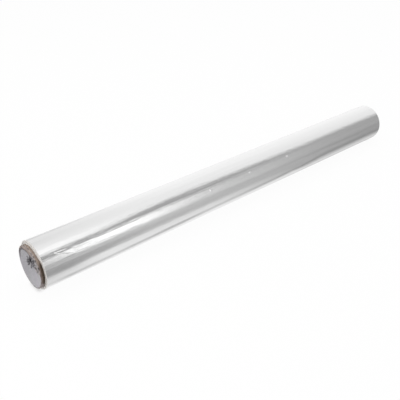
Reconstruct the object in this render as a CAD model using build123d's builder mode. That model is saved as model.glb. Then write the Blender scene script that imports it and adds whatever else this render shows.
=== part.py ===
from build123d import *
import math
import os

# A width of clear film wound on a cardboard core, lying on its side.
# X runs along the roll, Z is up, and the origin is on the floor under the middle of the roll.
# The left end is the one at -X. Lengths are in millimetres and angles in degrees.

# Wound film: its outermost turn ends in a step, and it has settled on a narrow flat
film_width = 700.0
film_build = 4.7
free_edge_step = 0.35
free_edge_angle = 68.0
flat_width = 8.0

# Turns, which show as one spiral groove in each end face of the film
turn_lap = 0.35
turn_pitch = 0.9
turn_groove_width = 0.25
turn_groove_depth = 0.45

# Cardboard core
core_radius = 28.2
core_wall = 2.8
core_overhang = 5.0
core_edge_break = 0.35

# Film cover gathered over each mouth of the core
cover_rim_inset = 0.3
cover_thickness = 0.5
cover_rim_width = 1.2
cover_dish_depth = 1.7
cover_tuck_clearance = 0.2
cover_tuck_depth = 3.2

# Eye of the gather, above the core's axis, where the film is tucked in
eye_radius = 3.6
eye_side = 2.7
eye_rise = 10.5
eye_depth = 9.0
eye_throat_radius = 2.1
eye_wall = 0.8

# Folds that rise from the cover's rim to the eye
fold_count = 18
fold_eye_height = 0.9
fold_eye_gap = 0.25
fold_foot_share = 0.7
fold_root = 0.25
fold_reach_share = 0.85
fold_uneven_angle = 3.0
fold_uneven_step = 137.5
fold_least_height_share = 0.5

# Places worked out from the sizes above
film_radius = core_radius + film_build
half_step = free_edge_step / 2
free_edge_direction = Vector(1, 0).rotate(Axis.Z, free_edge_angle)
settled_radius = math.sqrt((film_radius - half_step) ** 2 - (flat_width / 2) ** 2)
axis_height = settled_radius + half_step * free_edge_direction.Y
core_length = film_width + 2 * core_overhang
bore_radius = core_radius - core_wall
mid_plane = Plane(origin=(0, 0, axis_height), x_dir=(0, 1, 0), z_dir=(1, 0, 0))


def winding(outer_radius, pitch, half_turns):
    """Half circles that wind inwards from the free edge, each half a pitch smaller than the last."""
    arcs = []
    for half_turn in range(half_turns):
        radius = outer_radius - half_turn * pitch / 2
        if half_turn % 2 == 0:
            arcs.append(CenterArc((0, 0), radius, free_edge_angle, 180))
        else:
            centre = free_edge_direction * (-pitch / 2)
            arcs.append(CenterArc((centre.X, centre.Y), radius, free_edge_angle + 180, 180))
    return arcs


# Core tube
with BuildPart() as core_tube:
    with BuildSketch(mid_plane):
        Circle(core_radius)
        Circle(bore_radius, mode=Mode.SUBTRACT)
    extrude(amount=core_length / 2, both=True)
    mouth_faces = core_tube.faces().filter_by(Axis.X)
    chamfer(mouth_faces.edges(), length=core_edge_break)
core_tube.part.label = "core_tube"

# Wound film, with the spiral groove between its turns cut into both end faces
groove_outer_radius = film_radius - free_edge_step - turn_lap
groove_inner_radius = groove_outer_radius - turn_groove_width
groove_half_turns = int((groove_inner_radius - core_radius) / (turn_pitch / 2)) - 1

with BuildPart() as film_roll:
    with BuildSketch(mid_plane):
        with BuildLine():
            outer_turn = winding(film_radius, free_edge_step, 2)
            Line(outer_turn[-1] @ 1, outer_turn[0] @ 0)
        make_face()
        Circle(core_radius, mode=Mode.SUBTRACT)
    extrude(amount=film_width / 2, both=True)
    for outward in (-1, 1):
        with BuildSketch(mid_plane.offset(outward * film_width / 2)):
            with BuildLine():
                groove_outer_wall = winding(groove_outer_radius, turn_pitch, groove_half_turns)
                groove_inner_wall = winding(groove_inner_radius, turn_pitch, groove_half_turns)
                Line(groove_outer_wall[0] @ 0, groove_inner_wall[0] @ 0)
                Line(groove_outer_wall[-1] @ 1, groove_inner_wall[-1] @ 1)
            make_face()
        extrude(amount=-outward * turn_groove_depth, mode=Mode.SUBTRACT)
    split(bisect_by=Plane.XY, keep=Keep.TOP)
film_roll.part.label = "film_roll"

# Gathered cover on each end: a disc on the rim, dished towards its eye in flats between creases,
# with a fold on each crease
fold_waves = [math.sin(math.radians(fold * fold_uneven_step)) for fold in range(fold_count)]
fold_angles = [fold * 360 / fold_count + fold_uneven_angle * wave for fold, wave in enumerate(fold_waves)]
fold_height_shares = [1 - (1 - fold_least_height_share) * abs(wave) for wave in fold_waves]
creases = [Vector(1, 0).rotate(Axis.Z, angle) for angle in fold_angles]
dish_height = cover_thickness - cover_dish_depth
cover_radius = core_radius - cover_rim_inset
dish_rim_radius = cover_radius - cover_rim_width
eye_middle = Vector(eye_side, eye_rise)
eye_bottom = eye_depth + eye_wall
fold_eye_radius = eye_radius + fold_eye_gap
fold_foot_width = fold_foot_share * 2 * math.pi * fold_eye_radius / fold_count
fold_foot_depth = fold_eye_height + fold_root

# Each end of a pleated cone as its radius, middle and height: the rim of the dish, the eye, the
# bottom of the throat that it leads into, and both ends of the throat's outside
dish_rim = (dish_rim_radius, Vector(0, 0), cover_thickness)
eye = (eye_radius, eye_middle, dish_height)
throat_bottom = (eye_throat_radius, eye_middle, -eye_depth)
outer_throat_mouth = (eye_radius + eye_wall, eye_middle, 0)
outer_throat_bottom = (eye_throat_radius + eye_wall, eye_middle, -eye_bottom)


def pleated_cone(mouth, wide, narrow):
    """Solid between two rings of creases, cut from a block by the flat between each crease and the next."""
    wide_radius, wide_middle, wide_height = wide
    narrow_radius, narrow_middle, narrow_height = narrow
    wide_point = wide_middle + Vector(0, 0, wide_height)
    narrow_point = narrow_middle + Vector(0, 0, narrow_height)
    inside_point = mouth.from_local_coords((wide_point + narrow_point) / 2)
    with BuildPart() as cone:
        with BuildSketch(mouth.offset(narrow_height)):
            with Locations(wide_middle):
                Rectangle(wide_radius * 4, wide_radius * 4)
        extrude(amount=wide_height - narrow_height)
        for crease, next_crease in zip(creases, creases[1:] + creases[:1]):
            corner = mouth.from_local_coords(wide_point + crease * wide_radius)
            next_corner = mouth.from_local_coords(wide_point + next_crease * wide_radius)
            low_corner = mouth.from_local_coords(narrow_point + crease * narrow_radius)
            inward = (next_corner - corner).cross(low_corner - corner)
            if inward.dot(inside_point - corner) < 0:
                inward = -inward
            split(bisect_by=Plane(origin=corner, z_dir=inward), keep=Keep.TOP)
    return cone.part


end_covers = []
for cover_name, outward in (("left_end_cover", -1), ("right_end_cover", 1)):
    core_end = Vector(outward * core_length / 2, 0, axis_height)
    mouth = Plane(origin=core_end, x_dir=(0, outward, 0), z_dir=(outward, 0, 0))
    dish = pleated_cone(mouth, dish_rim, eye)
    throat = pleated_cone(mouth, eye, throat_bottom)
    outer_throat = pleated_cone(mouth, outer_throat_mouth, outer_throat_bottom)
    with BuildPart() as end_cover:
        with BuildSketch(mouth):
            Circle(cover_radius)
        extrude(amount=cover_thickness)
        with BuildSketch(mouth):
            Circle(bore_radius - cover_tuck_clearance)
        extrude(amount=-cover_tuck_depth)
        add(outer_throat)
        add(dish, mode=Mode.SUBTRACT)
        add(throat, mode=Mode.SUBTRACT)
        for crease, height_share in zip(creases, fold_height_shares):
            crest_height = dish_height + fold_eye_height * height_share
            crest_at_rim = crease * dish_rim_radius + Vector(0, 0, cover_thickness)
            crest_at_eye = crease * fold_eye_radius + eye_middle + Vector(0, 0, crest_height)
            eye_place = mouth.from_local_coords(crest_at_eye)
            along = mouth.from_local_coords(crest_at_rim) - eye_place
            across = mouth.z_dir.cross(along)
            with BuildSketch(Plane(origin=eye_place, x_dir=across, z_dir=along)):
                with BuildLine():
                    left_foot = (-fold_foot_width / 2, -fold_foot_depth)
                    right_foot = (fold_foot_width / 2, -fold_foot_depth)
                    Polyline(left_foot, right_foot, (0, 0), close=True)
                make_face()
            extrude(amount=along.length * fold_reach_share)
    end_cover.part.label = cover_name
    end_covers.append(end_cover.part)

os.makedirs("parts", exist_ok=True)
for piece in [core_tube.part, film_roll.part] + end_covers:
    export_step(piece, f"parts/{piece.label}.step")
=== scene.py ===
import bmesh
import bpy
import math
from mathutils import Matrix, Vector


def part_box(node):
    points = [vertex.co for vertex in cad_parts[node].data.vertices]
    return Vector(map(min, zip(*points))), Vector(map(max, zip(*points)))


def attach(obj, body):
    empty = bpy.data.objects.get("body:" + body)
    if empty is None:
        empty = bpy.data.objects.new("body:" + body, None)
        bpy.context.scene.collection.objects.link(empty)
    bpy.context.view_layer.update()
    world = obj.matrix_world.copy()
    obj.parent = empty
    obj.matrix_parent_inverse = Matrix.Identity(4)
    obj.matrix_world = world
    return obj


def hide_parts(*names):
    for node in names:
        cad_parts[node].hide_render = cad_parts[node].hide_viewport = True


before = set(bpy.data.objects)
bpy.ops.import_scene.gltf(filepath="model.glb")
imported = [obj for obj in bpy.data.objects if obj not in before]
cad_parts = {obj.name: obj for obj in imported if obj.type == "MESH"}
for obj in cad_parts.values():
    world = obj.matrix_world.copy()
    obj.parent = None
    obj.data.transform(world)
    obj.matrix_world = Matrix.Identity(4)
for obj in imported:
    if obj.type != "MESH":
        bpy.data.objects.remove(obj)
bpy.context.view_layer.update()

MM = 0.001

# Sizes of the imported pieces, in metres
film_low, film_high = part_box("film_roll")
core_low, core_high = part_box("core_tube")
cover_low, cover_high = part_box("left_end_cover")
FILM_WIDTH = film_high.x - film_low.x
CORE_LENGTH = core_high.x - core_low.x
CORE_RADIUS = (core_high.z - core_low.z) / 2
AXIS_HEIGHT = (core_high.z + core_low.z) / 2
FILM_RADIUS = -film_low.y
COVER_RADIUS = (cover_high.y - cover_low.y) / 2
COVER_REACH = -cover_low.x
COVER_DEPTH = cover_high.x - cover_low.x

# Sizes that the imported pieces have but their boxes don't show
CORE_WALL = 2.8 * MM
CORE_EDGE_BREAK = 0.35 * MM
FREE_EDGE_STEP = 0.35 * MM
FREE_EDGE_ANGLE = math.radians(68)
DISH_DEPTH = 1.7 * MM
EYE_SIDE = 2.7 * MM
EYE_RISE = 10.5 * MM
EYE_RADIUS = 3.6 * MM
FOLD_HEIGHT = 0.9 * MM
FOLD_COUNT = 18

# Marks in the wound film. They lie round a line this far up its front
MARK_LINE_ANGLE = math.radians(36)
PUCKER_TIP = -332.0 * MM
# Hazy specks: place along the roll, place across the line, length and width
SPECKS = (
    (-82.0 * MM, -1.4 * MM, 3.2 * MM, 2.6 * MM),
    (0.0 * MM, 0.0 * MM, 3.6 * MM, 2.6 * MM),
    (87.0 * MM, 0.0 * MM, 4.0 * MM, 2.8 * MM),
)

# Half the width of the square floor
FLOOR_REACH = 6.0


class Field:
    """A node socket that takes part in plain arithmetic, so that a tree reads as a formula."""

    def __init__(self, tree, socket):
        self.tree = tree
        self.socket = socket

    def __add__(self, other):
        return combined(self.tree, "ADD", self, other)

    def __radd__(self, other):
        return combined(self.tree, "ADD", other, self)

    def __sub__(self, other):
        return combined(self.tree, "SUBTRACT", self, other)

    def __rsub__(self, other):
        return combined(self.tree, "SUBTRACT", other, self)

    def __mul__(self, other):
        return combined(self.tree, "MULTIPLY", self, other)

    def __rmul__(self, other):
        return combined(self.tree, "MULTIPLY", other, self)

    def __truediv__(self, other):
        return combined(self.tree, "DIVIDE", self, other)

    def __neg__(self):
        return combined(self.tree, "MULTIPLY", self, -1.0)

    def does(self, operation, *others):
        """The result of a math node such as SINE, ABSOLUTE, MAXIMUM or POWER."""
        return combined(self.tree, operation, self, *others)

    def ramp(self, start, end, low=0.0, high=1.0, smooth=False):
        """Goes from low at start to high at end, and stays level outside."""
        node = self.tree.nodes.new("ShaderNodeMapRange")
        node.interpolation_type = "SMOOTHSTEP" if smooth else "LINEAR"
        terms = {"Value": self, "From Min": start, "From Max": end, "To Min": low, "To Max": high}
        for name, term in terms.items():
            connect(self.tree, term, node.inputs[name])
        return Field(self.tree, node.outputs["Result"])

    def through(self, *stops):
        """A line through (place, value) stops, level outside them."""
        total = stops[0][1]
        for (start, low), (end, high) in zip(stops, stops[1:]):
            total = self.ramp(start, end, 0.0, high - low) + total
        return total

    def bump(self, middle, reach):
        """1 at the middle, falling smoothly to 0 at the reach on both sides."""
        return (self - middle).does("ABSOLUTE").ramp(0.0, reach, 1.0, 0.0, smooth=True)

    def mixed(self, low, high):
        """Low where this is 0, high where it is 1."""
        return self * (high - low) + low


def connect(tree, term, socket):
    """Links a field to a socket, or sets the socket to a plain value."""
    if isinstance(term, Field):
        tree.links.new(term.socket, socket)
    else:
        socket.default_value = term


def combined(tree, operation, *terms):
    node = tree.nodes.new("ShaderNodeMath")
    node.operation = operation
    for term, socket in zip(terms, node.inputs):
        connect(tree, term, socket)
    return Field(tree, node.outputs[0])


def joined(tree, x, y, z):
    """A vector made of three fields."""
    node = tree.nodes.new("ShaderNodeCombineXYZ")
    for term, socket in zip((x, y, z), node.inputs):
        connect(tree, term, socket)
    return Field(tree, node.outputs[0])


def parted(tree, vector):
    """The three fields of a vector."""
    node = tree.nodes.new("ShaderNodeSeparateXYZ")
    connect(tree, vector, node.inputs[0])
    return [Field(tree, out) for out in node.outputs]


def noise(tree, x, y, z, detail=2.0, roughness=0.5):
    """Noise from about -0.5 to 0.5 at a place."""
    node = tree.nodes.new("ShaderNodeTexNoise")
    connect(tree, joined(tree, x, y, z), node.inputs["Vector"])
    node.inputs["Scale"].default_value = 1.0
    node.inputs["Detail"].default_value = detail
    node.inputs["Roughness"].default_value = roughness
    return Field(tree, node.outputs[0]) - 0.5


# Geometry trees

def geometry_tree(name, sizes):
    """A geometry tree with a named input for each size. Returns the tree and its inputs as fields."""
    tree = bpy.data.node_groups.new(name, "GeometryNodeTree")
    tree.interface.new_socket("Geometry", in_out="OUTPUT", socket_type="NodeSocketGeometry")
    for size, value in sizes.items():
        kind = "NodeSocketInt" if isinstance(value, int) else "NodeSocketFloat"
        tree.interface.new_socket(size, in_out="INPUT", socket_type=kind)
    entry = tree.nodes.new("NodeGroupInput")
    return tree, {size: Field(tree, entry.outputs[size]) for size in sizes}


def sheet_of_points(tree, size):
    """A grid. Returns its mesh and two fields: 0 to 1 around and -1 to 1 along."""
    grid = tree.nodes.new("GeometryNodeMeshGrid")
    grid.inputs["Size X"].default_value = 1.0
    grid.inputs["Size Y"].default_value = 2.0
    connect(tree, size["Points around"], grid.inputs["Vertices X"])
    connect(tree, size["Points along"], grid.inputs["Vertices Y"])
    place = tree.nodes.new("GeometryNodeInputPosition")
    around, along, _ = parted(tree, Field(tree, place.outputs[0]))
    return grid.outputs["Mesh"], around + 0.5, along


def place_points(tree, geometry, x, y, z):
    node = tree.nodes.new("GeometryNodeSetPosition")
    tree.links.new(geometry, node.inputs["Geometry"])
    connect(tree, joined(tree, x, y, z), node.inputs["Position"])
    return node.outputs["Geometry"]


def end_tree(tree, geometry, material):
    """Ends a tree in Realize Instances and Set Material."""
    realize = tree.nodes.new("GeometryNodeRealizeInstances")
    finish = tree.nodes.new("GeometryNodeSetMaterial")
    finish.inputs["Material"].default_value = material
    out = tree.nodes.new("NodeGroupOutput")
    tree.links.new(geometry, realize.inputs["Geometry"])
    tree.links.new(realize.outputs["Geometry"], finish.inputs["Geometry"])
    tree.links.new(finish.outputs["Geometry"], out.inputs["Geometry"])


def grown(name, tree, sizes, smooth_angle=40):
    """A closed mesh piece made by a geometry tree with these sizes."""
    piece = bpy.data.objects.new(name, bpy.data.meshes.new(name))
    bpy.context.scene.collection.objects.link(piece)
    modifier = piece.modifiers.new("form", "NODES")
    modifier.node_group = tree
    for item in tree.interface.items_tree:
        if item.in_out == "INPUT":
            modifier[item.identifier] = sizes[item.name]
    evaluated = piece.evaluated_get(bpy.context.evaluated_depsgraph_get())
    mesh = bpy.data.meshes.new_from_object(evaluated)
    mesh.name = name
    piece.modifiers.remove(modifier)
    piece.data = mesh
    form = bmesh.new()
    form.from_mesh(mesh)
    bmesh.ops.remove_doubles(form, verts=form.verts, dist=0.002 * MM)
    bmesh.ops.dissolve_degenerate(form, edges=form.edges, dist=0.001 * MM)
    bmesh.ops.recalc_face_normals(form, faces=form.faces)
    for face in form.faces:
        face.smooth = True
    for edge in form.edges:
        edge.smooth = edge.calc_face_angle(0) < math.radians(smooth_angle)
    form.to_mesh(mesh)
    form.free()
    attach(piece, "root")
    return piece


# Materials

def new_material(name):
    """An empty node material. Returns it with its tree and its principled shader."""
    material = bpy.data.materials.new(name)
    material.use_nodes = True
    tree = material.node_tree
    return material, tree, tree.nodes["Principled BSDF"]


def blended(tree, share, low, high):
    """A colour between two others by a share."""
    node = tree.nodes.new("ShaderNodeMix")
    node.data_type = "RGBA"
    connect(tree, share, node.inputs[0])
    for colour, socket in ((low, node.inputs[6]), (high, node.inputs[7])):
        connect(tree, colour if isinstance(colour, Field) else (*colour, 1.0), socket)
    return Field(tree, node.outputs[2])


def bumped(tree, shader, height, distance):
    """Gives a shader bump from a height field."""
    node = tree.nodes.new("ShaderNodeBump")
    node.inputs["Strength"].default_value = 1.0
    node.inputs["Distance"].default_value = distance
    connect(tree, height, node.inputs["Height"])
    tree.links.new(node.outputs["Normal"], shader.inputs["Normal"])


def object_place(tree):
    """Object coordinates as three fields, with the height counted from the axis."""
    node = tree.nodes.new("ShaderNodeTexCoord")
    x, y, z = parted(tree, Field(tree, node.outputs["Object"]))
    return x, y, z - AXIS_HEIGHT


def wound_film_material():
    """Wound clear film: silvery and glossy, with strain lines along the roll and pale cut edges."""
    material, tree, shader = new_material("wound_film")
    x, y, up = object_place(tree)
    radius = (y * y + up * up).does("SQRT")
    side = y / radius
    rise = up / radius
    strain = noise(tree, x * 1.6, side * 24.0, rise * 24.0, detail=3.0, roughness=0.6)
    fine_strain = noise(tree, x * 5.0, side * 130.0, rise * 130.0)
    haze = noise(tree, x * 6.0, side * 5.0, rise * 5.0, detail=4.0)
    tone = strain * 0.4 + haze * 0.4 + fine_strain * 0.2
    outside = blended(tree, tone.ramp(-0.3, 0.3), (0.82, 0.82, 0.82), (0.92, 0.92, 0.92))
    rings = noise(tree, side * 2.0, rise * 2.0, radius * 3000.0, detail=3.0)
    cut_edges = blended(tree, rings.ramp(-0.25, 0.25), (0.60, 0.57, 0.54), (0.92, 0.90, 0.87))
    on_end = x.does("ABSOLUTE").ramp(FILM_WIDTH / 2 - 0.25 * MM, FILM_WIDTH / 2 - 0.1 * MM)
    colour = blended(tree, on_end, outside, cut_edges)
    tree.links.new(colour.socket, shader.inputs["Base Color"])
    roughness = on_end.mixed((haze + fine_strain).ramp(-0.3, 0.3, 0.03, 0.09), 0.45)
    tree.links.new(roughness.socket, shader.inputs["Roughness"])
    # Way round the roll from the line of its marks, in metres
    across = (side * math.sin(MARK_LINE_ANGLE) + rise * math.cos(MARK_LINE_ANGLE)) * FILM_RADIUS
    # A pucker near the left end: a low ridge that slants down and widens from its tip
    run = x - PUCKER_TIP
    off_crest = (across - 3.6 * MM + run * 0.218).does("ABSOLUTE")
    ridge = run.ramp(0.0, 15 * MM, 1.0 * MM, 3.4 * MM) - off_crest
    ends = run.ramp(-1.0 * MM, 0.5 * MM) * run.ramp(24 * MM, 11 * MM)
    dent = ridge.ramp(0.0, 1.2 * MM, smooth=True) * ends * 1.5
    hazy = 0.0
    for place, lift, length, width in SPECKS:
        lengthwise = (x - place) / length
        crosswise = (across - lift) / width
        from_speck = (lengthwise * lengthwise + crosswise * crosswise).does("SQRT")
        speck = from_speck.ramp(1.0, 0.0, smooth=True)
        dent = speck * 1.1 + dent
        hazy = speck * 0.6 + hazy
    on_front = side.ramp(0.0, -0.1)
    dent = dent * on_front
    hazy = hazy * on_front
    tree.links.new((on_end.mixed(0.9, 0.1) - hazy).socket, shader.inputs["Metallic"])
    wobble = noise(tree, x * 60.0, side * 12.0, rise * 12.0, detail=1.0)
    height = strain * 1.1 + fine_strain * 0.15 + wobble * 1.2 + dent
    bumped(tree, shader, on_end.mixed(height, rings * 0.6), 0.12 * MM)
    return material


def film_edge_material():
    """The cut edges of the film's turns: pale and slightly warm."""
    material, tree, shader = new_material("film_edges")
    _, y, height = object_place(tree)
    radius = (y * y + height * height).does("SQRT")
    rings = noise(tree, y * 40.0, height * 40.0, radius * 2500.0, detail=3.0)
    colour = blended(tree, rings.ramp(-0.25, 0.25), (0.66, 0.63, 0.60), (0.95, 0.93, 0.90))
    tree.links.new(colour.socket, shader.inputs["Base Color"])
    shader.inputs["Roughness"].default_value = 0.4
    shader.inputs["Metallic"].default_value = 0.1
    return material


def board_material():
    """Spiral-wound brown board, with painted shade at mid-height that is darkest in the corner beside the
    film.
    """
    material, tree, shader = new_material("kraft_board")
    x, y, height = object_place(tree)
    mottle = noise(tree, x * 160.0, y * 160.0, height * 160.0, detail=5.0, roughness=0.6)
    fibre = noise(tree, x * 1400.0, y * 420.0, height * 420.0, detail=3.0)
    tone = mottle * 0.6 + fibre * 0.5
    kraft = blended(tree, tone.ramp(-0.2, 0.2), (0.185, 0.14, 0.112), (0.48, 0.39, 0.33))
    # Painted shade: a darkened copy of the board, laid at mid-height and most in the corner beside the
    # film's end
    shaded_kraft = blended(tree, tone.ramp(-0.2, 0.2), (0.034, 0.022, 0.015), (0.085, 0.058, 0.040))
    corner = x.does("ABSOLUTE").ramp(CORE_LENGTH / 2 - 1.2 * MM, CORE_LENGTH / 2 - 3.2 * MM)
    front = height.ramp(0.018, 0.012) * height.ramp(-0.016, -0.008)
    share = (corner * 0.45 + 0.55) * front + corner * 0.3
    colour = blended(tree, (share + mottle * 0.6).ramp(0.0, 1.0), kraft, shaded_kraft)
    tree.links.new(colour.socket, shader.inputs["Base Color"])
    shader.inputs["Roughness"].default_value = 0.85
    bumped(tree, shader, fibre, 0.1 * MM)
    return material


def gathered_film_material():
    """Cloudy lavender-grey film with painted shade in the eye and along the bore's edge, painted highlights
    on the folds, patches of painted light and shade towards the front, and the board showing through at the
    rim.
    """
    material, tree, shader = new_material("gathered_film")
    x, y, height = object_place(tree)
    from_axis = (y * y + height * height).does("SQRT")
    side = y + EYE_SIDE
    rise = height - EYE_RISE
    from_eye = (side * side + rise * rise).does("SQRT")
    ray_y = side / from_eye
    ray_z = rise / from_eye
    stripe = noise(tree, ray_y * 5.0, ray_z * 5.0, from_eye * 30.0, detail=3.0)
    tint = noise(tree, y * 110.0, height * 14.0, 4.0, detail=1.0)
    cloudy = blended(tree, stripe.ramp(-0.2, 0.2), (0.33, 0.325, 0.35), (0.42, 0.415, 0.445))
    warmer = blended(tree, tint.ramp(-0.2, 0.2), (0.36, 0.365, 0.355), (0.40, 0.365, 0.415))
    film = blended(tree, 0.5, cloudy, warmer)
    # Board through the film along the upper rim; towards the front, patches of painted light and shade of
    # the crumpled film
    grain = noise(tree, x * 420.0, y * 420.0, height * 420.0, detail=4.0)
    board = blended(tree, grain.ramp(-0.2, 0.2), (0.15, 0.105, 0.09), (0.46, 0.36, 0.30))
    bore_line = y.through(
        (-0.003, 0.0178),
        (0.001, 0.0205),
        (0.008, 0.0222),
        (0.014, 0.0243),
        (0.025, 0.0272),
    )
    upper = height.ramp(0.004, 0.010)
    past_bore = from_axis + grain * 0.001 - bore_line
    on_board = past_bore.ramp(0.0, 0.8 * MM) * upper * y.ramp(-0.014, -0.008)
    patches = noise(tree, x * 200.0, y * 200.0, height * 260.0, detail=3.0)
    front = y.ramp(-0.009, -0.013) * height.ramp(-0.006, 0.003) * height.ramp(0.028, 0.024)
    rim = from_axis.ramp(COVER_RADIUS - 0.5 * MM, COVER_RADIUS + 0.1 * MM)
    patchy = (patches + front * 0.48 + rim * 0.5 - 0.34).ramp(0.0, 0.12)
    colour = blended(tree, on_board * 0.85, film, board)
    speckle = noise(tree, x * 300.0, y * 300.0, height * 300.0, detail=2.0)
    # Painted light and shade of the crumples, from near black to pale
    crumple_light_and_shade = blended(tree, speckle.ramp(-0.09, 0.09), (0.034, 0.027, 0.025), (0.42, 0.37, 0.35))
    colour = blended(tree, patchy * 0.95, colour, crumple_light_and_shade)
    # Painted shadow in the gap at the edge of the bore, a dark line that meets the rim at the back
    line = (past_bore + 0.3 * MM).does("ABSOLUTE").ramp(0.7 * MM, 1.4 * MM, 1.0, 0.0)
    line = line * upper * y.ramp(-0.010, -0.006)
    back_edge = from_axis.bump(COVER_RADIUS - 2.6 * MM, 2.2 * MM)
    back_edge = back_edge * y.ramp(0.010, 0.016) * height.ramp(-0.002, 0.004)
    colour = blended(tree, line.does("MAXIMUM", back_edge) * 0.85, colour, (0.060, 0.044, 0.048))
    # Uneven teeth along the front of the rim
    teeth = noise(tree, y / from_axis * 26.0, height / from_axis * 26.0, 9.0)
    toothed = (from_axis - COVER_RADIUS + 1.0 * MM + teeth * 0.008).ramp(0.0, 0.5 * MM)
    toothed = toothed * y.ramp(-0.010, -0.016) * height.ramp(0.010, 0.004)
    colour = blended(tree, toothed * 0.7, colour, (0.15, 0.105, 0.10))
    # Folds round the eye: painted shade between them, painted highlights along their crests
    fold = (rise.does("ARCTAN2", side) / math.tau + 1.0) * FOLD_COUNT + stripe * 1.5
    crest = (fold.does("FRACT") - 0.5).does("ABSOLUTE").ramp(0.06, 0.22, 1.0, 0.0)
    spikes = noise(tree, ray_y * 3.5, ray_z * 3.5, 1.0, detail=4.0, roughness=0.7)
    # The dark star is painted shade of the eye's hole and its deep folds, a slanting oval, a little lower
    # and nearer the front than the eye
    low_rise = rise + 1.8 * MM
    near_side = side + 1.8 * MM
    long_way = (low_rise * 0.49 - near_side * 0.87) / 1.8
    short_way = near_side * 0.49 + low_rise * 0.87
    from_star = (long_way * long_way + short_way * short_way).does("SQRT")
    past_star = from_star - (7.8 * MM + spikes * 0.015)
    torn = past_star.ramp(0.6 * MM, -1.0 * MM)
    colour = blended(tree, torn * (1.0 - crest * 0.25), colour, (0.032, 0.027, 0.034))
    flecks = noise(tree, ray_y * 6.0, ray_z * 6.0, from_eye * 200.0, detail=2.0)
    round_eye = past_star.ramp(2.4 * MM, -1.0 * MM) * from_eye.ramp(EYE_RADIUS, EYE_RADIUS * 1.2)
    # Painted highlights along the fold crests near the eye
    light = crest * flecks.ramp(0.0, 0.08) * round_eye
    colour = blended(tree, light * 0.8, colour, (0.66, 0.64, 0.65))
    tree.links.new(colour.socket, shader.inputs["Base Color"])
    shader.inputs["Roughness"].default_value = 0.42
    crumple = noise(tree, x * 320.0, y * 320.0, height * 320.0, detail=3.0)
    bumped(tree, shader, stripe * 0.7 + crumple * 0.3, 0.25 * MM)
    return material


# Wound film: one sheet of points wrapped once round the roll, from the free edge back to it. Along
# the roll it runs from the middle of the bore out over one end face, along the outside and back in.

def wound_film(material):
    sizes = {
        "Film width": FILM_WIDTH,
        "Film radius": FILM_RADIUS,
        "Core radius": CORE_RADIUS,
        "Free edge step": FREE_EDGE_STEP,
        "Free edge angle": FREE_EDGE_ANGLE,
        "Axis height": AXIS_HEIGHT,
        "Slack height": 0.45 * MM,
        "Bulge height": 0.12 * MM,
        "Ridge height": 0.025 * MM,
        "Lip height": 0.08 * MM,
        "Points around": 440,
        "Points along": 200,
    }
    tree, size = geometry_tree("wound_film_form", sizes)
    mesh, around, along = sheet_of_points(tree, size)
    share = along.does("ABSOLUTE")
    half_width = size["Film width"] / 2.0
    x = along.does("SIGN") * share.through((0.0, 0.0), (0.86, 1.0), (0.97, 1.0), (1.0, 0.0)) * half_width
    inward = share.through((0.86, 0.0), (0.97, 1.0))
    # The last column climbs the step of the free edge and meets the first one
    step_foot = 1.0 - 1.0 / (sizes["Points around"] - 1)
    turned = around.through((0.0, 0.0), (step_foot, 1.0), (1.0, 0.0))
    angle = size["Free edge angle"] + around.ramp(0.0, step_foot) * math.tau
    cosine = angle.does("COSINE")
    sine = angle.does("SINE")
    # Degrees up from the front of the roll
    lift = 180.0 - angle * (180.0 / math.pi)
    slack = x.through(
        (-0.350, -0.6),
        (-0.328, -0.8),
        (-0.300, 0.0),
        (-0.255, -0.8),
        (-0.200, 0.0),
        (-0.076, -0.6),
        (0.020, 0.7),
        (0.122, -0.8),
        (0.240, 0.6),
        (0.350, -0.8),
    )
    slack_wave = ((lift - 45.0) * (math.pi / 24)).does("SINE") * lift.bump(45.0, 42.0)
    bulge = noise(tree, x * 5.0, cosine * 1.3, sine * 1.3, detail=1.0)
    ridge = noise(tree, x * 3.0, cosine * 6.0, sine * 6.0)
    lip_fade = (turned * -60.0).does("EXPONENT")
    lip_wave = noise(tree, x * 14.0, 0.0, 0.0) + 0.5
    outside = (
        size["Film radius"]
        - size["Free edge step"] * turned
        + size["Slack height"] * slack_wave * slack / 6.4
        + size["Bulge height"] * bulge
        + size["Ridge height"] * ridge
        + size["Lip height"] * lip_fade * lip_wave
    )
    radius = inward.mixed(outside, size["Core radius"])
    y = radius * cosine
    z = (size["Axis height"] + radius * sine).does("MAXIMUM", 0.0)
    end_tree(tree, place_points(tree, mesh, x, y, z), material)
    film = grown("film_wound", tree, sizes)
    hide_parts("film_roll")
    return film


# Board core: the same kind of sheet, with most of its points on the bare ends

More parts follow.
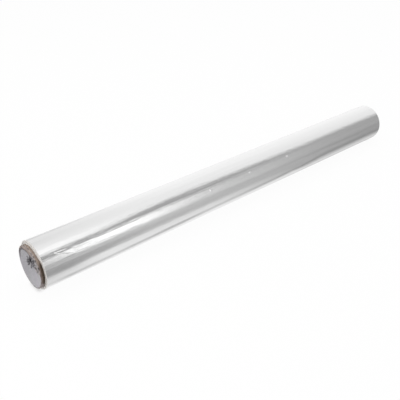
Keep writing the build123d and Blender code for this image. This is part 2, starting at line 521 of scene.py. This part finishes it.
def board_core(material):
    sizes = {
        "Core length": CORE_LENGTH,
        "Core radius": CORE_RADIUS,
        "Core wall": CORE_WALL,
        "Edge break": CORE_EDGE_BREAK,
        "Axis height": AXIS_HEIGHT,
        "Seam pitch": 95.0 * MM,
        "Seam depth": 0.12 * MM,
        "Points around": 360,
        "Points along": 160,
    }
    tree, size = geometry_tree("board_core_form", sizes)
    mesh, around, along = sheet_of_points(tree, size)
    share = along.does("ABSOLUTE")
    half_length = size["Core length"] / 2.0
    # Shares of half the length where the film's cover begins, well inside it, and where the edge is broken
    covered = 1.0 - 12.0 * MM / (CORE_LENGTH / 2)
    broken = 1.0 - CORE_EDGE_BREAK / (CORE_LENGTH / 2)
    reach = share.through(
        (0.0, 0.0),
        (0.06, covered),
        (0.62, broken),
        (0.65, 1.0),
        (0.86, 1.0),
        (0.89, broken),
        (0.94, covered),
        (1.0, 0.0),
    )
    x = along.does("SIGN") * half_length * reach
    inset = share.through((0.62, 0.0), (0.65, 1.0), (0.86, 1.0), (0.89, 0.0)) * size["Edge break"]
    inward = share.through((0.65, 0.0), (0.86, 1.0))
    angle = around * math.tau
    cosine = angle.does("COSINE")
    sine = angle.does("SINE")
    seam = (around + x / size["Seam pitch"] + 20.0).does("FRACT").bump(0.5, 0.004) * size["Seam depth"]
    fibre = noise(tree, x * 900.0, cosine * 16.0, sine * 16.0, detail=3.0) * 0.06 * MM
    outer = size["Core radius"] - inset - seam + fibre
    inner = size["Core radius"] - size["Core wall"] + inset
    radius = inward.mixed(outer, inner)
    place = place_points(tree, mesh, x, radius * cosine, size["Axis height"] + radius * sine)
    end_tree(tree, place, material)
    core = grown("core_board_tube", tree, sizes)
    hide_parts("core_tube")
    return core


# Gathered film over a mouth of the core. Its points go from the bottom of the eye out over the dish,
# round the rim, a little way down the core's side in uneven teeth, and back inside to the axis.

def gathered_cover(name, side, node, material):
    sizes = {
        "Side": side,
        "Reach": COVER_REACH,
        "Cover radius": COVER_RADIUS,
        "Bore radius": CORE_RADIUS - CORE_WALL,
        "Axis height": AXIS_HEIGHT,
        "Eye side": EYE_SIDE,
        "Eye rise": EYE_RISE,
        "Eye radius": EYE_RADIUS,
        "Dish depth": DISH_DEPTH,
        "Cover depth": COVER_DEPTH,
        "Fold height": FOLD_HEIGHT,
        "Folds": float(FOLD_COUNT),
        "Pleat height": 0.22 * MM,
        "Tooth length": 0.8 * MM,
        "Sag": 1.0 * MM,
        "Skirt length": 4.4 * MM,
        "Points around": 400,
        "Points along": 230,
    }
    tree, size = geometry_tree(name + "_form", sizes)
    mesh, around, along = sheet_of_points(tree, size)
    share = along * 0.5 + 0.5
    angle = around * math.tau
    cosine = angle.does("COSINE")
    sine = angle.does("SINE")
    # Ring radius about the axis, and how far out towards it a point lies as seen from the eye
    ring = share.through(
        (0.70, 0.0),
        (0.73, 0.9),
        (0.755, 1.0),
        (0.77, 1.016),
        (0.86, 1.016),
        (0.875, 1.012),
        (0.90, 1.012),
        (0.94, 0.90),
        (0.97, 0.90),
    )
    rim = ring.does("MINIMUM", 1.0)
    sagged = size["Cover radius"] + sine.ramp(-0.55, -0.95, smooth=True) * size["Sag"]
    ring_radius = rim.mixed(size["Cover radius"] * 0.97, sagged) * ring.does("MAXIMUM", 1.0)
    ring_radius = share.ramp(0.90, 0.94).mixed(ring_radius, size["Bore radius"] - 0.25 * MM)
    side_part = -size["Eye side"]
    middle = side_part * cosine + size["Eye rise"] * sine
    eye_square = side_part * side_part + size["Eye rise"] * size["Eye rise"]
    distance = (middle * middle + ring_radius * ring_radius - eye_square).does("SQRT") - middle
    torn = noise(tree, cosine * 3.0, sine * 3.0, 2.0, detail=4.0, roughness=0.65)
    lip_radius = size["Eye radius"] * (1.0 + torn * 0.9)
    throat = share.through((0.0, 0.0), (0.03, 0.45), (0.12, 0.65), (0.17, 1.0))
    dish = share.ramp(0.17, 0.70)
    from_eye = dish.mixed(throat * lip_radius, distance)
    from_eye = from_eye * share.through((0.96, 1.0), (1.0, 0.0))
    # Depth below the rim's outer face
    folds = around * size["Folds"]
    crest = ((folds.does("FRACT") - 0.5).does("ABSOLUTE") * 2.0 / 0.7).does("MINIMUM", 1.0)
    uneven = (folds.does("FLOOR") * 137.5).does("SINE") * 0.25 + 0.75
    fold_rise = (1.0 - crest) * uneven * size["Fold height"]
    fold_rise = fold_rise * share.through((0.14, 0.0), (0.19, 1.0), (0.62, 0.0))
    pleat_share = share.through(
        (0.01, 0.0),
        (0.12, 0.3),
        (0.17, 0.3),
        (0.5, 1.0),
        (0.69, 1.0),
        (0.73, 0.3),
        (0.94, 0.3),
        (0.97, 0.0),
    )
    pleats = noise(tree, cosine * 14.0, sine * 14.0, 7.0, detail=2.0) * pleat_share
    depth = share.through(
        (0.0, 9.6 * MM),
        (0.03, 9.2 * MM),
        (0.12, 4.5 * MM),
        (0.17, size["Dish depth"]),
        (0.70, 0.12 * MM),
        (0.73, 0.0),
        (0.755, 0.05 * MM),
        (0.77, 0.35 * MM),
    )
    teeth = noise(tree, cosine * 20.0, sine * 20.0, 5.0, detail=3.0, roughness=0.7)
    tooth = teeth.ramp(-0.22, 0.22, 0.25, 1.6) * size["Tooth length"]
    tooth = (tooth + sine.ramp(-0.63, -0.80) * size["Skirt length"]).does("MINIMUM", 5.1 * MM)
    down_side = share.through((0.77, 0.0), (0.86, 1.0), (0.875, 1.0), (0.90, 0.0))
    inside = share.through((0.94, 0.0), (0.96, 3.0 * MM), (0.97, 3.4 * MM), (1.0, size["Cover depth"]))
    depth = depth - fold_rise - pleats * size["Pleat height"] + down_side * tooth + inside
    depth = depth.does("MAXIMUM", 0.0)
    x = size["Side"] * (size["Reach"] - depth)
    y = from_eye * cosine - size["Eye side"]
    z = from_eye * sine + size["Eye rise"] + size["Axis height"]
    end_tree(tree, place_points(tree, mesh, x, y, z), material)
    cover = grown(name, tree, sizes)
    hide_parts(node)
    return cover


# Cut edges of the film's turns: a thin ribbon that stands a little out of each end face

def turn_edges(name, side, material):
    sizes = {
        "Side": side,
        "Half width": FILM_WIDTH / 2,
        "Inner radius": CORE_RADIUS + 0.10 * MM,
        "Outer radius": FILM_RADIUS - FREE_EDGE_STEP - 0.10 * MM,
        "Turns": 34.0,
        "Free edge angle": FREE_EDGE_ANGLE,
        "Axis height": AXIS_HEIGHT,
        "Ribbon width": 0.075 * MM,
        "Ribbon height": 0.22 * MM,
        "Unevenness": 0.05 * MM,
        "Lean": 1.2 * MM,
        "Points a turn": 90,
    }
    tree, size = geometry_tree(name + "_form", sizes)
    spiral = tree.nodes.new("GeometryNodeCurveSpiral")
    connect(tree, size["Points a turn"], spiral.inputs["Resolution"])
    connect(tree, size["Turns"], spiral.inputs["Rotations"])
    connect(tree, size["Outer radius"], spiral.inputs["Start Radius"])
    connect(tree, size["Inner radius"], spiral.inputs["End Radius"])
    spiral.inputs["Height"].default_value = 0.0
    outline = tree.nodes.new("GeometryNodeCurvePrimitiveQuadrilateral")
    connect(tree, size["Ribbon width"], outline.inputs["Width"])
    connect(tree, size["Ribbon height"], outline.inputs["Height"])
    ribbon = tree.nodes.new("GeometryNodeCurveToMesh")
    tree.links.new(spiral.outputs["Curve"], ribbon.inputs["Curve"])
    tree.links.new(outline.outputs["Curve"], ribbon.inputs["Profile Curve"])
    ribbon.inputs["Fill Caps"].default_value = True
    place = tree.nodes.new("GeometryNodeInputPosition")
    across, up, out = parted(tree, Field(tree, place.outputs[0]))
    radius = (across * across + up * up).does("SQRT")
    uneven = noise(tree, across * 30.0, up * 30.0, radius * 2200.0, detail=2.0) * size["Unevenness"]
    cosine = size["Free edge angle"].does("COSINE")
    sine = size["Free edge angle"].does("SINE")
    y = across * cosine - up * sine
    height = across * sine + up * cosine
    # Near the core the turns lean outwards at the top
    inner = (size["Outer radius"] - radius) / (size["Outer radius"] - size["Inner radius"])
    lean = inner * (height / radius).ramp(0.50, 0.85, smooth=True) * size["Lean"]
    x = size["Side"] * (size["Half width"] + out + uneven + lean)
    z = (height + size["Axis height"]).does("MAXIMUM", 0.03 * MM)
    end_tree(tree, place_points(tree, ribbon.outputs["Mesh"], x, y, z), material)
    return grown(name, tree, sizes, smooth_angle=30)


# Camera, floor and light

def camera():
    """The photograph's view, found from the roll's outlines."""
    data = bpy.data.cameras.new("camera")
    data.sensor_width = 36.0
    data.lens = 49.5
    data.clip_start = 0.01
    data.clip_end = 20.0
    viewer = bpy.data.objects.new("camera", data)
    viewer.location = (-0.5572, -0.5413, 0.43734)
    viewer.rotation_euler = (math.radians(60.04), 0.0, math.radians(-41.46))
    bpy.context.scene.collection.objects.link(viewer)
    bpy.context.scene.camera = viewer


def mirrored_floor(x, y):
    """How bright the film mirrors the floor: painted light and shade that the floor gives off to glossy
    rays, a sheet lit beside the roll, and greyer away from it.
    """
    away = y.does("ABSOLUTE")
    # Far out it is grey, most so at the right
    outer = x.through((-0.30, 0.33), (-0.15, 0.50), (0.03, 0.49), (0.25, 0.42), (0.42, 0.33))
    slant = x / away
    far = slant.through((-0.8, 0.34), (-0.5, 0.52), (0.0, 0.56), (0.8, 0.48), (1.4, 0.38), (1.9, 0.30))
    outer = away.ramp(0.13, 0.28).mixed(outer, far)
    pool = x.through(
        (-0.33, 0.78),
        (-0.25, 0.90),
        (-0.06, 0.80),
        (0.14, 0.43),
        (0.19, 0.42),
        (0.25, 0.31),
        (0.37, 0.29),
    )
    pool_edge = x.ramp(-0.30, -0.26, 0.083, 0.098)
    reflected = (away - pool_edge).ramp(0.0, -0.042, smooth=True).mixed(outer, pool)
    # Close to the roll runs a thin dark line, a painted shadow, and inside it the sheet is bright again
    line_place = x.through(
        (-0.31, 0.0305),
        (-0.19, 0.0335),
        (-0.06, 0.038),
        (0.07, 0.040),
        (0.155, 0.044),
        (0.21, 0.055),
    )
    past_line = away - line_place
    dark = x.through(
        (-0.335, 0.70),
        (-0.31, 0.52),
        (-0.24, 0.60),
        (-0.14, 0.42),
        (-0.06, 0.58),
        (0.07, 0.37),
        (0.155, 0.28),
        (0.34, 0.27),
    )
    beside = x.through((-0.10, 0.95), (0.07, 0.88), (0.155, 0.80), (0.24, 0.74), (0.34, 0.71))
    beside = beside * (1.0 - x.ramp(0.0, 0.18) * away.ramp(0.0225, 0.0155) * 0.30)
    reflected = past_line.ramp(0.0, 0.0047).mixed(dark, reflected)
    line_width = x.ramp(0.12, 0.21, 0.010, 0.025)
    reflected = (past_line / line_width).ramp(-0.2, -1.05).mixed(reflected, beside)
    behind = y.through((0.022, 0.85), (0.034, 0.50), (0.05, 0.36), (0.08, 0.42), (0.11, 0.96), (0.3, 1.0))
    return y.ramp(0.0, 0.02).mixed(reflected, behind)


def floor():
    """A pale floor that the camera sees as white, with a soft shadow under the roll."""
    mesh = bpy.data.meshes.new("floor")
    corners = [(x * FLOOR_REACH, y * FLOOR_REACH, 0) for x, y in ((-1, -1), (1, -1), (1, 1), (-1, 1))]
    mesh.from_pydata(corners, [], [(0, 1, 2, 3)])
    ground = bpy.data.objects.new("floor", mesh)
    bpy.context.scene.collection.objects.link(ground)
    material, tree, shader = new_material("floor")
    shader.inputs["Base Color"].default_value = (0.9, 0.9, 0.9, 1.0)
    shader.inputs["Roughness"].default_value = 0.9
    glow = tree.nodes.new("ShaderNodeEmission")
    x, y, _ = object_place(tree)
    rays = tree.nodes.new("ShaderNodeLightPath")
    glossy = Field(tree, rays.outputs["Is Glossy Ray"])
    # To glossy rays the floor glows with the painted light and shade of mirrored_floor
    tree.links.new(glossy.mixed(1.0, mirrored_floor(x, y)).socket, glow.inputs["Strength"])
    # Under the roll more of the shadow shows, most so at both ends
    away = y.does("ABSOLUTE")
    out = x.does("ABSOLUTE")
    under_ends = away.ramp(0.015, 0.008) * out.ramp(0.338, 0.346)
    under = away.ramp(0.012, 0.009).does("MAXIMUM", under_ends) * out.ramp(0.358, 0.353)
    seen = (Field(tree, rays.outputs["Is Camera Ray"]) * under.mixed(0.95, 0.5)).does("MAXIMUM", glossy)
    mix = tree.nodes.new("ShaderNodeMixShader")
    tree.links.new(seen.socket, mix.inputs[0])
    tree.links.new(shader.outputs[0], mix.inputs[1])
    tree.links.new(glow.outputs[0], mix.inputs[2])
    tree.links.new(mix.outputs[0], tree.nodes["Material Output"].inputs["Surface"])
    mesh.materials.append(material)


def soft_light(name, place, target, width, height, power):
    """A soft box that lights without being mirrored."""
    data = bpy.data.lights.new(name, "AREA")
    data.shape = "RECTANGLE"
    data.size = width
    data.size_y = height
    data.energy = power
    lamp = bpy.data.objects.new(name, data)
    lamp.location = place
    lamp.rotation_euler = (Vector(target) - Vector(place)).to_track_quat("-Z", "Y").to_euler()
    lamp.visible_glossy = False
    bpy.context.scene.collection.objects.link(lamp)


def mirrored_studio(along, turn):
    """How bright the film mirrors the studio: grey walls, a box at the front and a wide one overhead."""
    grey = along.through((0.20, 0.42), (0.31, 0.31), (0.37, 0.37), (0.76, 0.37), (0.81, 0.35))
    lifted = along.through((0.30, 0.05), (0.42, 0.22), (0.58, 0.26), (0.66, 0.20), (0.76, 0.02))
    level = grey + lifted * turn.ramp(49.0, 33.0)
    # Front box: it ends at the right, and its upper and lower edges slant
    lower_edge = (turn + along.ramp(0.39, 0.43, 0.0, 2.5)).ramp(8.0, 20.0, smooth=True)
    upper_edge = (turn - along.ramp(0.32, 0.37, -9.0, 0.0)).ramp(45.0, 40.0, smooth=True)
    box = along.ramp(0.61, 0.465, smooth=True) * lower_edge * upper_edge
    level = box.mixed(level, along.through((0.20, 1.10), (0.315, 0.60), (0.335, 0.85), (0.36, 1.26)))
    level = level * along.through((0.20, 1.0), (0.322, 0.78), (0.342, 1.0))
    # Overhead box: brighter towards the back, and dimmer there near the left end
    top = turn.through((60.0, 0.84), (100.0, 0.94), (150.0, 1.03))
    near = along.ramp(0.55, 0.35)
    nearer = along.ramp(0.47, 0.32)
    nearest = along.ramp(0.30, 0.20)
    top = top + near * (turn.bump(74.0, 20.0) * 0.26 - turn.bump(130.0, 45.0) * 0.12)
    top = top - nearer * (turn.bump(175.0, 17.0) * 0.40 + turn.bump(148.0, 40.0) * 0.10)
    top = top * (1.0 - nearest * (turn.bump(124.0, 14.0) * 0.55 + turn.ramp(148.0, 172.0) * 0.35))
    front_edge = along.through(
        (0.36, 56.0),
        (0.44, 62.0),
        (0.475, 72.0),
        (0.53, 75.2),
        (0.65, 66.4),
        (0.70, 61.2),
        (0.80, 58.3),
    )
    edge_width = along.through((0.36, 4.5), (0.45, 6.5), (0.62, 6.0), (0.80, 12.0))
    overhead = ((turn - front_edge) / edge_width).ramp(-1.0, 1.0, smooth=True)
    return overhead.mixed(level, top)


def sky():
    """White to the camera, plain soft light on matt things, and the studio's soft boxes for glossy ones."""
    world = bpy.data.worlds.new("studio")
    bpy.context.scene.world = world
    world.use_nodes = True
    tree = world.node_tree
    ground = tree.nodes["Background"]
    place = tree.nodes.new("ShaderNodeTexCoord")
    along, back, up = parted(tree, Field(tree, place.outputs["Generated"]))
    # Degrees round the roll: 0 towards the front, 90 straight up, 180 towards the back
    turn = up.does("ARCTAN2", -back) * (180.0 / math.pi)
    rays = tree.nodes.new("ShaderNodeLightPath")
    seen = Field(tree, rays.outputs["Is Camera Ray"])
    glossy = Field(tree, rays.outputs["Is Glossy Ray"])
    matt = up.does("ABSOLUTE").ramp(0.1, 0.9, 0.55, 0.8)
    strength = seen.mixed(glossy.mixed(matt, mirrored_studio(along, turn)), 1.0)
    tree.links.new(strength.socket, ground.inputs["Strength"])
    ground.inputs["Color"].default_value = (1.0, 1.0, 1.0, 1.0)


bpy.context.scene.view_settings.view_transform = "Standard"
camera()
floor()
sky()
soft_light("overhead", (0.0, 0.3, 1.6), (0.0, 0.0, 0.0), 2.4, 1.2, 10.0)
soft_light("near_side", (-1.4, -0.5, 0.6), (-0.3, 0.0, 0.03), 0.8, 0.8, 4.0)

film_finish = wound_film_material()
edge_finish = film_edge_material()
board_finish = board_material()
gather_finish = gathered_film_material()
wound_film(film_finish)
board_core(board_finish)
gathered_cover("left_gather", -1.0, "left_end_cover", gather_finish)
gathered_cover("right_gather", 1.0, "right_end_cover", gather_finish)
turn_edges("left_turn_edges", -1.0, edge_finish)
turn_edges("right_turn_edges", 1.0, edge_finish)
